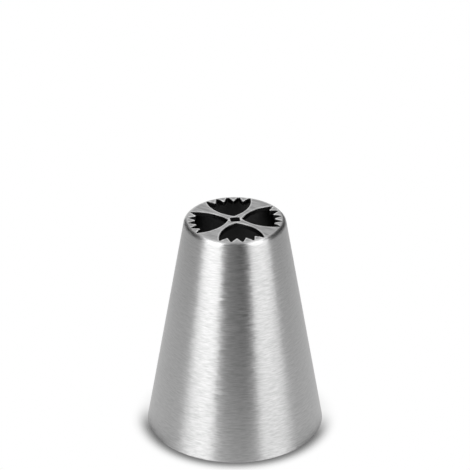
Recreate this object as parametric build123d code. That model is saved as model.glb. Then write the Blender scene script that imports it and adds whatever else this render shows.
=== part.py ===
from build123d import *
import math
import os

# Piping nozzle that prints a four-petalled flower, in millimetres.
# The origin is the centre of the base rim, on the surface that the nozzle stands on.
# +Z runs up the cone to the face, and the petals lie along X and Y.

# Cone
base_diameter = 30.0
face_diameter = 16.9
height = 38.3
wall = 0.6
face_corner_radius = 0.85
rim_edge_radius = 0.12

# Face plate and its seat in the small end of the cone
plate_thickness = 0.8
seat_ledge = 0.3
plate_clearance = 0.02

# Weld that fills the groove between the plate and the cone, ground flush
weld_width = 0.24
weld_depth = 0.2

# Square opening in the middle of the face
square_side = 1.53
square_corner_radius = 0.3

# Petal openings, and the metal between them
petal_count = 4
centre_web = 0.43
petal_web = 0.94
widest_below_spikes = 0.86
petal_point_radius = 0.08

# Spikes at the outer end of a petal, with a metal tooth between each two
spike_count = 5
spike_spread_share = 0.972
spike_wall_gap = 0.03
spike_tip_radius = 0.17
tooth_length = 1.33
tooth_tip_radius = 0.17

# Broken edge round every opening, and the overrun of every cut
edge_break = 0.09
edge_break_angle = 45
overrun = 1.0

# Heights and distances from the axis, worked out from the sizes above
base_radius = base_diameter / 2
slope_angle = math.atan2((base_diameter - face_diameter) / 2, height)
flat_radius = face_diameter / 2 - face_corner_radius * math.tan(math.pi / 4 - slope_angle / 2)
seat_height = height - plate_thickness


def outer_radius(z):
    return base_radius - z * math.tan(slope_angle)


def inner_radius(z):
    return outer_radius(z) - wall / math.cos(slope_angle)


seat_radius = inner_radius(seat_height)
plate_radius = seat_radius + seat_ledge
spike_distance = seat_radius - spike_wall_gap
tooth_distance = spike_distance - tooth_length
petal_point_distance = square_side / 2 + centre_web
petal_widest_distance = spike_distance - widest_below_spikes


def turned(points):
    # A solid turned about the axis, from a section of straight lines through (radius, height) points.
    corners = [Plane.XZ.from_local_coords(point) for point in points]
    return revolve(make_face(Polyline(*corners, corners[0])), Axis.Z)


def disc(radius, bottom, top):
    return Pos(0, 0, bottom) * extrude(Circle(radius), top - bottom)


def outer_solid():
    # The cone filled in, with the rounded corner round its face and the broken edge of its rim.
    solid = turned([(0, 0), (base_radius, 0), (face_diameter / 2, height), (0, height)])
    face_edge = solid.edges().filter_by(GeomType.CIRCLE).sort_by(Axis.Z)[-1]
    solid = fillet(face_edge, face_corner_radius)
    rim_edge = solid.edges().filter_by(GeomType.CIRCLE).sort_by(Axis.Z)[0]
    return fillet(rim_edge, rim_edge_radius)


def hollow_solid():
    # The space inside the cone, up to the seat, with a mouth flared by the broken inner edge of the rim.
    mouth_radius = inner_radius(0) + rim_edge_radius
    return turned([
        (0, -overrun),
        (mouth_radius, -overrun),
        (mouth_radius, 0),
        (inner_radius(rim_edge_radius), rim_edge_radius),
        (seat_radius, seat_height),
        (0, seat_height),
    ])


def groove_solid():
    # A ring of V section over the plate's edge, square to the rounded corner there and open above it.
    lean = math.asin((plate_radius - flat_radius) / face_corner_radius)
    out = Vector(math.sin(lean), math.cos(lean))
    along = Vector(math.cos(lean), -math.sin(lean))
    corner_centre = Vector(flat_radius, height - face_corner_radius)
    root = corner_centre + out * (face_corner_radius - weld_depth)
    rise = out * weld_depth * 2
    run = along * weld_width
    return turned([(point.X, point.Y) for point in (root, root + rise - run, root + rise + run)])


def at_angle(distance, degrees):
    return Vector(distance, 0).rotate(Axis.Z, degrees)


def side_circle():
    # Centre and radius of a petal's left side, for a petal along +X.
    # It starts at the petal's point, is widest where the petal is, and leaves half a web beside the next petal.
    half_turn = math.pi / petal_count
    reach = petal_widest_distance * math.sin(half_turn) - petal_web / 2
    length = petal_widest_distance - petal_point_distance
    middle = reach * math.cos(half_turn)
    spread = math.sin(half_turn) ** 2
    offset = (middle - math.sqrt(middle**2 + spread * (reach**2 - length**2))) / spread
    return Vector(petal_widest_distance, -offset), reach + offset * math.cos(half_turn)


def crossing(centre, radius, distance):
    # Where a circle crosses the circle about the axis at a distance, on the left of its centre.
    along = (distance**2 - radius**2 + centre.length**2) / (2 * centre.length)
    across = math.sqrt(distance**2 - along**2)
    direction = centre.normalized()
    return direction * along + direction.rotate(Axis.Z, 90) * across


def petal_outline():
    # One petal along +X: two round sides that meet in a point, and a row of spikes at the outer end.
    # The corners of spikes and teeth stand out by what their rounding takes off.
    centre, radius = side_circle()
    half_spread = crossing(centre, radius, spike_distance).get_angle(Vector(1, 0)) * spike_spread_share
    spike_pitch = half_spread * 2 / (spike_count - 1)
    half_width = math.radians(spike_pitch / 2) * (spike_distance + tooth_distance) / 2
    setback = 1 / math.sin(math.atan2(half_width, tooth_length)) - 1
    spike_corner = spike_distance + spike_tip_radius * setback
    tooth_corner = tooth_distance - tooth_tip_radius * setback

    start = Vector(petal_point_distance, 0)
    end = crossing(centre, radius, spike_corner)
    middle = centre + ((start - centre).normalized() + (end - centre).normalized()).normalized() * radius
    side = ThreePointArc(start, middle, end)

    row = [Vector(end.X, -end.Y)]
    for tooth in range(spike_count - 1):
        turn = tooth * spike_pitch - half_spread + spike_pitch / 2
        row.append(at_angle(tooth_corner, turn))
        row.append(at_angle(spike_corner, turn + spike_pitch / 2))
    row[-1] = end
    return make_face(side + mirror(side, Plane.XZ) + Polyline(*row))


def petal():
    # The outline with its corners rounded, from the outermost inwards.
    shape = petal_outline()
    spikes = shape.vertices().sort_by_distance((0, 0))[-spike_count:]
    shape = fillet(spikes, spike_tip_radius)
    teeth = shape.vertices().sort_by_distance((0, 0))[1:spike_count]
    shape = fillet(teeth, tooth_tip_radius)
    point = shape.vertices().sort_by_distance((0, 0))[0]
    return fillet(point, petal_point_radius)


def flower():
    # Every opening of the face: the petals about the axis, and the square between their points.
    shape = RectangleRounded(square_side, square_side, square_corner_radius)
    one_petal = petal()
    for step in range(petal_count):
        shape += Rot(0, 0, 360 * step / petal_count) * one_petal
    return shape


def flower_cutter():
    # The openings cut straight through the plate, and widened at the face by their broken edge.
    shape = flower()
    through = Pos(0, 0, seat_height - overrun) * extrude(shape, plate_thickness + overrun * 2)
    widened = Pos(0, 0, height - edge_break) * extrude(shape, edge_break * 2, taper=-edge_break_angle)
    return through + widened


def main():
    outer = outer_solid()
    groove = groove_solid()
    pocket = disc(plate_radius + plate_clearance, seat_height, height + overrun)
    blank = outer & disc(plate_radius, seat_height, height + overrun)
    nodes = {
        "cone_shell": outer - hollow_solid() - pocket - groove,
        "face_plate": blank - groove - flower_cutter(),
        "weld_seam": outer & groove,
    }
    os.makedirs("parts", exist_ok=True)
    for name, solid in nodes.items():
        export_step(solid, f"parts/{name}.step")


main()
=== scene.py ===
import math

import bpy
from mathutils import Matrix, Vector


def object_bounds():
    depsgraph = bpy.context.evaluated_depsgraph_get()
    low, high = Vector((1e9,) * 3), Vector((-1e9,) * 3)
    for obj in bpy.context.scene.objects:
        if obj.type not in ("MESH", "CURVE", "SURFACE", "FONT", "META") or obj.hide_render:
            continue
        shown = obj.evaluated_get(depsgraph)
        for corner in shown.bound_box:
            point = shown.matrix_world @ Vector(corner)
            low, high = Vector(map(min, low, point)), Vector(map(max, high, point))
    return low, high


# A steel piping nozzle on a white floor, dressed and lit. Lengths are in metres and angles in degrees.
# An azimuth given to a light, a card or the shadow is counted from the camera's.
# A shade, a colour or a share runs from 0 to 1.

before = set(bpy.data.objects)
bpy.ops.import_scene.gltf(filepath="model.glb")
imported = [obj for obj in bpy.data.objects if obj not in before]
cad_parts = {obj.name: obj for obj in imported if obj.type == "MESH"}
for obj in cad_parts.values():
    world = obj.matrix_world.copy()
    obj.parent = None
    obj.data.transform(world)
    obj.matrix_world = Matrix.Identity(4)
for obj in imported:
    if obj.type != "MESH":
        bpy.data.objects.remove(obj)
cad_low, cad_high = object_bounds()

# The nozzle: its base and height are measured on the frame
BASE_RADIUS = cad_high.x
HEIGHT = cad_high.z
TAPER = 9.7
SLOPE = math.tan(math.radians(TAPER))
WALL = 0.0006
CORNER_RADIUS = 0.00085
FLAT_RADIUS = 0.00773
EDGE_BREAK = 0.00009

# Where its finish changes, and where the painted shade inside begins and ends: heights, and depths under
# the outside
TOP_START = HEIGHT - EDGE_BREAK * 1.2
CUTS_END = HEIGHT - EDGE_BREAK * 0.9
CORNER_START = HEIGHT - CORNER_RADIUS * 0.5
CORNER_END = HEIGHT - CORNER_RADIUS * 0.15
PAINTED_SHADE_START = HEIGHT * 0.45
PAINTED_SHADE_END = HEIGHT * 0.7
INSIDE_START = WALL * 0.78
INSIDE_END = WALL * 0.88

# Colour of the steel, how far its grain darkens and lightens it, and at which values of the grain
STEEL_COLOUR = 0.44
FACE_COLOUR = 0.33
# The inside: its own colour, and the painted shade it darkens to towards the face
INSIDE_COLOUR = 0.35
DEEP_PAINTED_SHADE = 0.045
# Colour of the painted highlight along the edges of the openings
EDGE_HIGHLIGHT_COLOUR = 0.74
STEEL_SPREAD = 0.18
FACE_SPREAD = 0.3
DARK_TO_LIGHT_GRAIN = (0.25, 0.75)

# Painted highlight along the edges of the openings, found by ambient occlusion inside the metal
EDGE_HIGHLIGHT_WIDTH = 0.00045
EDGE_HIGHLIGHT_SAMPLES = 12
BRIGHT_TO_PLAIN_OCCLUSION = (0.55, 0.95)
EDGE_HIGHLIGHT_END = FLAT_RADIUS * 1.03

# Roughness of the steel, the values of the grain that it goes with, and the grain's fine relief
SMOOTHEST = 0.34
ROUGHEST = 0.46
SMOOTH_TO_ROUGH_GRAIN = (0.3, 0.7)
CORNER_ROUGHNESS = 0.3
FACE_ROUGHNESS = 0.35
BUMP_STRENGTH = 0.12
BUMP_DEPTH = 0.00005

# Highlights stretch across the grain, a quarter turn from its direction
ANISOTROPY = 0.9
QUARTER_TURN = 0.25

# Grain: streaks to the metre along it and across it, how far they lean, and the noise that draws them
GRAIN_ALONG = 700
GRAIN_ACROSS = 5600
LEAN_ACROSS = 13000
GRAIN_LEAN = 0.26
FACE_GRAIN_ALONG = 350
FACE_GRAIN_ACROSS = 2200
FACE_GRAIN_ANGLE = -40
STREAK_DETAIL = 3.0
STREAK_ROUGHNESS = 0.6
STREAK_MIDDLE = 0.5

# Floor, a hair below the rim
FLOOR_WIDTH = 3
FLOOR_GAP = 0.00005
FLOOR_COLOUR = (0.8, 0.8, 0.8, 1)
# Under the nozzle: its radius, its painted shade to look at, and its painted glow in reflections
COVERED_RADIUS = BASE_RADIUS - WALL / 2
COVERED_PAINTED_SHADE = 0.015
COVERED_PAINTED_GLOW = 0.6

# Shadow painted on the floor, found by ambient occlusion. Its fades run from back to front, in base radii
SHADOW_LENGTH = 0.004
SHADOW_NORMAL_ELEVATION = 20
SHADOW_SAMPLES = 32
DARK_TO_WHITE_OCCLUSION = (0.6, 0.96)
SHADOW_SHADE = 0.2
SHADOW_AZIMUTH = -4.5
SHADOW_FADE = (-0.25, 0.4)
SHARE_BEHIND = 0.15
REFLECTION_FADE = (0.5, 0.85)

# Lights
WORLD_LIGHT = 0.45
SIDE_SOFTBOX_DISTANCE = 0.35
SIDE_SOFTBOX_HEIGHT = 0.56
TOP_SOFTBOX_DISTANCE = 0.4
TOP_SOFTBOX_ELEVATION = 62
TOP_SOFTBOX_WIDTH = 0.12
TOP_SOFTBOX_HEIGHT = 0.1
TOP_SOFTBOX_RADIANCE = 2.8

# Camera, from the outline, the base edge and the openings in the photograph
CAMERA_AZIMUTH = -9.25
CAMERA_ELEVATION = 28.315
CAMERA_DISTANCE = 0.5
CAMERA_LENS = 222.3
PICTURE_MIDDLE_RISE = 0.0311


def direction(azimuth, elevation):
    # A step of 1 away from the origin. An azimuth of 0 is towards -Y, and one of 90 towards +X.
    a = math.radians(azimuth)
    e = math.radians(elevation)
    return Vector((math.sin(a) * math.cos(e), -math.cos(a) * math.cos(e), math.sin(e)))


class Graph:
    # A node tree under construction.
    # An input is a number, a vector, a node's output, or a node, which stands for its first output.

    # A mix node's sockets for vectors share their names with its others, so they are picked by their place.
    FIRST_VECTOR = 4
    SECOND_VECTOR = 5
    MIXED_VECTOR = 1

    def __init__(self, tree):
        self.tree = tree
        tree.nodes.clear()

    def add(self, kind, inputs=(), **settings):
        node = self.tree.nodes.new(kind)
        for name, value in settings.items():
            setattr(node, name, value)
        pairs = inputs.items() if isinstance(inputs, dict) else enumerate(inputs)
        for name, value in pairs:
            self.join(node.inputs[name], value)
        return node

    def join(self, socket, value):
        if isinstance(value, bpy.types.Node):
            value = value.outputs[0]
        if isinstance(value, bpy.types.NodeSocket):
            self.tree.links.new(value, socket)
        else:
            socket.default_value = value

    def math(self, operation, *values, clamp=False):
        return self.add("ShaderNodeMath", values, operation=operation, use_clamp=clamp)

    def vector_math(self, operation, *values):
        return self.add("ShaderNodeVectorMath", values, operation=operation)

    def ramp(self, value, low, high, at_low=0.0, at_high=1.0):
        # Goes smoothly from one number at low to another at high.
        inputs = {"Value": value, "From Min": low, "From Max": high, "To Min": at_low, "To Max": at_high}
        return self.add("ShaderNodeMapRange", inputs, interpolation_type="SMOOTHSTEP")

    def mix(self, share, first, second):
        inputs = {"Factor": share, "A": first, "B": second}
        return self.add("ShaderNodeMix", inputs, data_type="FLOAT")

    def mix_vectors(self, share, first, second):
        node = self.add("ShaderNodeMix", data_type="VECTOR")
        self.join(node.inputs["Factor"], share)
        self.join(node.inputs[self.FIRST_VECTOR], first)
        self.join(node.inputs[self.SECOND_VECTOR], second)
        return node.outputs[self.MIXED_VECTOR]

    def grey(self, value):
        return self.add("ShaderNodeCombineColor", (value, value, value))


def material(name):
    # A material without nodes yet, and the graph that adds them.
    made = bpy.data.materials.new(name)
    made.use_nodes = True
    return made, Graph(made.node_tree)


def place(graph):
    # Place on the nozzle: the point, its distance from the axis and its height.
    point = graph.add("ShaderNodeTexCoord").outputs["Object"]
    parts = graph.add("ShaderNodeSeparateXYZ", (point,))
    flat = graph.add("ShaderNodeCombineXYZ", (parts.outputs["X"], parts.outputs["Y"], 0.0))
    radius = graph.vector_math("LENGTH", flat).outputs["Value"]
    return point, radius, parts.outputs["Z"]


def inside_share(graph, radius, height):
    # 1 on the inside of the cone and the walls of the openings, 0 on the outside and the face.
    outer = graph.math("SUBTRACT", BASE_RADIUS, graph.math("MULTIPLY", height, SLOPE))
    depth = graph.math("SUBTRACT", outer, radius)
    below_face = graph.math("LESS_THAN", height, CUTS_END)
    return graph.math("MULTIPLY", graph.ramp(depth, INSIDE_START, INSIDE_END), below_face)


def corner_share(graph, radius, height):
    # 1 on the upper part of the rounded corner round the face, 0 elsewhere.
    raised = graph.ramp(height, CORNER_START, CORNER_END)
    return graph.math("MULTIPLY", raised, graph.math("GREATER_THAN", radius, FLAT_RADIUS))


def grain_direction(graph, point, on_face):
    # The flat face is brushed in one straight direction, and the rest round the axis.
    angle = math.radians(FACE_GRAIN_ANGLE)
    straight = (math.cos(angle), math.sin(angle), 0)
    around = graph.vector_math("CROSS_PRODUCT", (0, 0, 1), point)
    around = graph.vector_math("NORMALIZE", around)
    return graph.mix_vectors(on_face, around, straight)


def streaks(graph, point, stretch):
    # Noise drawn out along the grain, from 0 to 1.
    stretched = graph.vector_math("MULTIPLY", point, stretch)
    inputs = {"Vector": stretched, "Scale": 1.0, "Detail": STREAK_DETAIL, "Roughness": STREAK_ROUGHNESS}
    return graph.add("ShaderNodeTexNoise", inputs).outputs["Fac"]


def grain_pattern(graph, point, on_face):
    angle = math.radians(FACE_GRAIN_ANGLE)
    inputs = {"Vector": point, "Angle": -angle}
    turned = graph.add("ShaderNodeVectorRotate", inputs, rotation_type="Z_AXIS")
    round_grain = streaks(graph, point, (GRAIN_ALONG, GRAIN_ALONG, GRAIN_ACROSS))
    face_grain = streaks(graph, turned, (FACE_GRAIN_ALONG, FACE_GRAIN_ACROSS, FACE_GRAIN_ALONG))
    return graph.mix(on_face, round_grain, face_grain)


def leaning_normal(graph, point, tangent):
    # Each streak leans a little along the grain, which frays the edges of what it reflects.
    moved = graph.vector_math("ADD", point, (HEIGHT, 0, HEIGHT))
    lean = streaks(graph, moved, (GRAIN_ALONG, GRAIN_ALONG, LEAN_ACROSS))
    lean = graph.math("MULTIPLY", graph.math("SUBTRACT", lean, STREAK_MIDDLE), GRAIN_LEAN)
    leaning = graph.vector_math("SCALE", tangent)
    graph.join(leaning.inputs["Scale"], lean)
    normal = graph.add("ShaderNodeNewGeometry").outputs["Normal"]
    return graph.vector_math("NORMALIZE", graph.vector_math("ADD", normal, leaning))


def paint_edge_highlight(graph, colour, radius, on_top):
    # Paints a highlight on the face along the edges of its openings.
    inputs = {"Distance": EDGE_HIGHLIGHT_WIDTH}
    near = graph.add("ShaderNodeAmbientOcclusion", inputs, samples=EDGE_HIGHLIGHT_SAMPLES, inside=True)
    edge = graph.ramp(near.outputs["AO"], *BRIGHT_TO_PLAIN_OCCLUSION, 1.0, 0.0)
    edge = graph.math("MULTIPLY", edge, graph.ramp(radius, FLAT_RADIUS, EDGE_HIGHLIGHT_END, 1.0, 0.0))
    return graph.mix(graph.math("MULTIPLY", edge, on_top), colour, EDGE_HIGHLIGHT_COLOUR)


def steel(name, edge_highlighted=False):
    made, graph = material(name)
    point, radius, height = place(graph)
    on_top = graph.math("GREATER_THAN", height, TOP_START)
    on_face = graph.math("MULTIPLY", on_top, graph.math("LESS_THAN", radius, FLAT_RADIUS))
    tangent = grain_direction(graph, point, on_face)
    grain = grain_pattern(graph, point, on_face)
    normal = leaning_normal(graph, point, tangent)

    colour = graph.mix(on_face, STEEL_COLOUR, FACE_COLOUR)
    spread = graph.mix(on_face, STEEL_SPREAD, FACE_SPREAD)
    darkest = graph.math("SUBTRACT", 1.0, spread)
    lightest = graph.math("ADD", 1.0, spread)
    shade = graph.ramp(grain, *DARK_TO_LIGHT_GRAIN, darkest, lightest)
    colour = graph.math("MULTIPLY", colour, shade)
    # The face gets a painted highlight along the edges of its openings
    if edge_highlighted:
        colour = paint_edge_highlight(graph, colour, radius, on_top)
    # The inside is painted darker towards the face, as shade, down to nearly black on the walls of the
    # openings
    inside_with_painted_shade = graph.ramp(height, PAINTED_SHADE_START, PAINTED_SHADE_END, INSIDE_COLOUR, DEEP_PAINTED_SHADE)
    colour = graph.mix(inside_share(graph, radius, height), colour, inside_with_painted_shade)

    roughness = graph.ramp(grain, *SMOOTH_TO_ROUGH_GRAIN, SMOOTHEST, ROUGHEST)
    roughness = graph.mix(corner_share(graph, radius, height), roughness, CORNER_ROUGHNESS)
    roughness = graph.mix(on_face, roughness, FACE_ROUGHNESS)

    inputs = {"Strength": BUMP_STRENGTH, "Distance": BUMP_DEPTH, "Height": grain, "Normal": normal}
    bump = graph.add("ShaderNodeBump", inputs)
    shader = graph.add("ShaderNodeBsdfPrincipled", {
        "Base Color": graph.grey(colour),
        "Metallic": 1.0,
        "Roughness": roughness,
        "Anisotropic": ANISOTROPY,
        "Anisotropic Rotation": QUARTER_TURN,
        "Normal": bump,
        "Tangent": tangent,
    })
    graph.add("ShaderNodeOutputMaterial", {"Surface": shader})
    return made


def dress(node, made):
    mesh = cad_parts[node].data
    mesh.materials.clear()
    mesh.materials.append(made)


def seen_rays(graph):
    # 1 for a ray that looks at the background, straight or by way of metal or glass.
    path = graph.add("ShaderNodeLightPath").outputs
    seen = graph.math("ADD", path["Is Camera Ray"], path["Is Glossy Ray"])
    return graph.math("ADD", seen, path["Is Transmission Ray"], clamp=True)


def face_nozzle(made, azimuth, elevation, distance, rise=0):
    # Puts a light or a card round the nozzle, facing its origin, and moves it up by the rise.
    back = direction(CAMERA_AZIMUTH + azimuth, elevation)
    made.location = back * distance + Vector((0, 0, rise))
    made.rotation_mode = "QUATERNION"
    made.rotation_quaternion = (-back).to_track_quat("-Z", "Y")
    bpy.context.scene.collection.objects.link(made)


def rectangle(name, width, height):
    mesh = bpy.data.meshes.new(name)
    x = width / 2
    y = height / 2
    mesh.from_pydata([(-x, -y, 0), (x, -y, 0), (x, y, 0), (-x, y, 0)], [], [(0, 1, 2, 3)])
    return bpy.data.objects.new(name, mesh)


def floor_shade(graph):
    # The shadow is painted as if the light came from behind: dark in front of the rim and faint behind it.
    shadow_normal = direction(CAMERA_AZIMUTH + 180, SHADOW_NORMAL_ELEVATION)
    inputs = {"Distance": SHADOW_LENGTH, "Normal": shadow_normal}
    near = graph.add("ShaderNodeAmbientOcclusion", inputs, samples=SHADOW_SAMPLES)
    shade = graph.ramp(near.outputs["AO"], *DARK_TO_WHITE_OCCLUSION, SHADOW_SHADE, 1.0)
    point = graph.add("ShaderNodeTexCoord").outputs["Object"]
    forwards = direction(CAMERA_AZIMUTH + SHADOW_AZIMUTH, 0) / BASE_RADIUS
    forwards = graph.vector_math("DOT_PRODUCT", point, forwards).outputs["Value"]
    share = graph.ramp(forwards, *SHADOW_FADE, SHARE_BEHIND, 1.0)
    shade = graph.mix(share, 1.0, shade)

    # The metal reflects the floor in front without its shadow, so the rim stays bright to its edge there.
    looked_at = graph.add("ShaderNodeLightPath").outputs["Is Camera Ray"]
    reflected = graph.math("MAXIMUM", shade, graph.ramp(forwards, *REFLECTION_FADE))
    shade = graph.mix(looked_at, reflected, shade)

    # Under the nozzle it is painted dark, as shade, where it is looked at through the openings, and painted
    # pale, as a glow, where the inside reflects it.
    distance = graph.vector_math("LENGTH", point).outputs["Value"]
    covered = graph.math("LESS_THAN", distance, COVERED_RADIUS)
    return graph.mix(covered, shade, graph.mix(looked_at, COVERED_PAINTED_GLOW, COVERED_PAINTED_SHADE))


def add_floor():
    # White where it is looked at, apart from its painted shadow and the painted shade under the nozzle.
    # From below it isn't there.
    made, graph = material("white_floor")
    shown = graph.add("ShaderNodeEmission", {"Color": graph.grey(floor_shade(graph)), "Strength": 1.0})
    lit = graph.add("ShaderNodeBsdfDiffuse", {"Color": FLOOR_COLOUR})
    upper = graph.add("ShaderNodeMixShader", (seen_rays(graph), lit, shown))
    below = graph.add("ShaderNodeNewGeometry").outputs["Backfacing"]
    clear = graph.add("ShaderNodeBsdfTransparent")
    shader = graph.add("ShaderNodeMixShader", (below, upper, clear))
    graph.add("ShaderNodeOutputMaterial", {"Surface": shader})
    floor = rectangle("floor", FLOOR_WIDTH, FLOOR_WIDTH)
    floor.data.materials.append(made)
    floor.location.z = -FLOOR_GAP
    bpy.context.scene.collection.objects.link(floor)


def add_world():
    # White to look at and in reflections, and dimmer as a light.
    world = bpy.data.worlds.new("studio")
    world.use_nodes = True
    world.cycles.sampling_method = "NONE"
    graph = Graph(world.node_tree)
    strength = graph.mix(seen_rays(graph), WORLD_LIGHT, 1.0)
    background = graph.add("ShaderNodeBackground", {"Color": (1, 1, 1, 1), "Strength": strength})
    graph.add("ShaderNodeOutputWorld", {"Surface": background})
    bpy.context.scene.world = world


def softbox(name, width, height, radiance):
    light = bpy.data.lights.new(name, "AREA")
    light.shape = "RECTANGLE"
    light.size = width
    light.size_y = height
    light.energy = radiance * width * height * math.pi
    made = bpy.data.objects.new(name, light)
    made.visible_camera = False
    return made


def spare_face(light):
    # Keeps a light off the face plate, which would mirror it as a white patch when seen from behind.
    spared = bpy.data.collections.new("spared_" + light.name)
    spared.objects.link(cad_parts["face_plate"])
    spared.collection_objects[0].light_linking.link_state = "EXCLUDE"
    light.light_linking.receiver_collection = spared


def add_side_softbox(name, azimuth, width, radiance):
    # Stands upright, with its foot level with the rim.
    made = softbox(name, width, SIDE_SOFTBOX_HEIGHT, radiance)
    face_nozzle(made, azimuth, 0, SIDE_SOFTBOX_DISTANCE, SIDE_SOFTBOX_HEIGHT / 2)
    spare_face(made)


def add_top_softbox(name, azimuth):
    made = softbox(name, TOP_SOFTBOX_WIDTH, TOP_SOFTBOX_HEIGHT, TOP_SOFTBOX_RADIANCE)
    face_nozzle(made, azimuth, TOP_SOFTBOX_ELEVATION, TOP_SOFTBOX_DISTANCE)


def add_flag(name, azimuth, distance, bottom, width, height, shade):
    # A dark card that only the metal sees.
    made, graph = material(name)
    shader = graph.add("ShaderNodeEmission", {"Color": (shade, shade, shade, 1), "Strength": 1.0})
    graph.add("ShaderNodeOutputMaterial", {"Surface": shader})
    card = rectangle(name, width, height)
    card.data.materials.append(made)
    card.visible_camera = False
    card.visible_diffuse = False
    card.visible_shadow = False
    face_nozzle(card, azimuth, 0, distance, bottom + height / 2)


def add_camera():
    back = direction(CAMERA_AZIMUTH, CAMERA_ELEVATION)
    up = direction(CAMERA_AZIMUTH + 180, 90 - CAMERA_ELEVATION)
    data = bpy.data.cameras.new("camera")
    data.lens = CAMERA_LENS
    camera = bpy.data.objects.new("camera", data)
    camera.location = up * PICTURE_MIDDLE_RISE + back * CAMERA_DISTANCE
    camera.rotation_mode = "QUATERNION"
    camera.rotation_quaternion = (-back).to_track_quat("-Z", "Y")
    bpy.context.scene.collection.objects.link(camera)
    bpy.context.scene.camera = camera


dress("cone_shell", steel("cone_steel"))
# The face plate gets a painted highlight along the edges of its openings
dress("face_plate", steel("face_steel", edge_highlighted=True))
dress("weld_seam", steel("weld_steel"))

add_floor()
add_world()

# The side softboxes make the two bright bands of the cone, and the front cards the dark band between them.
# The top softboxes brighten the rounded corner in front, and the left and right cards darken the sides.
add_side_softbox("left_softbox", azimuth=-45.5, width=0.28, radiance=3.15)
add_side_softbox("right_softbox", azimuth=53, width=0.29, radiance=2.13)
add_top_softbox("left_top_softbox", azimuth=-95)
add_top_softbox("right_top_softbox", azimuth=95)
add_flag("front_flag", azimuth=2.2, distance=0.05, bottom=0.001, width=0.0495, height=0.2, shade=0.23)
add_flag("front_strip", azimuth=14.7, distance=0.048, bottom=0.001, width=0.0144, height=0.2, shade=0.1)
add_flag("left_flag", azimuth=-112, distance=0.1, bottom=0.035, width=0.175, height=0.12, shade=0.08)
add_flag("right_flag", azimuth=119, distance=0.1, bottom=0.035, width=0.19, height=0.12, shade=0.06)
add_camera()
bpy.context.scene.view_settings.view_transform = "Standard"
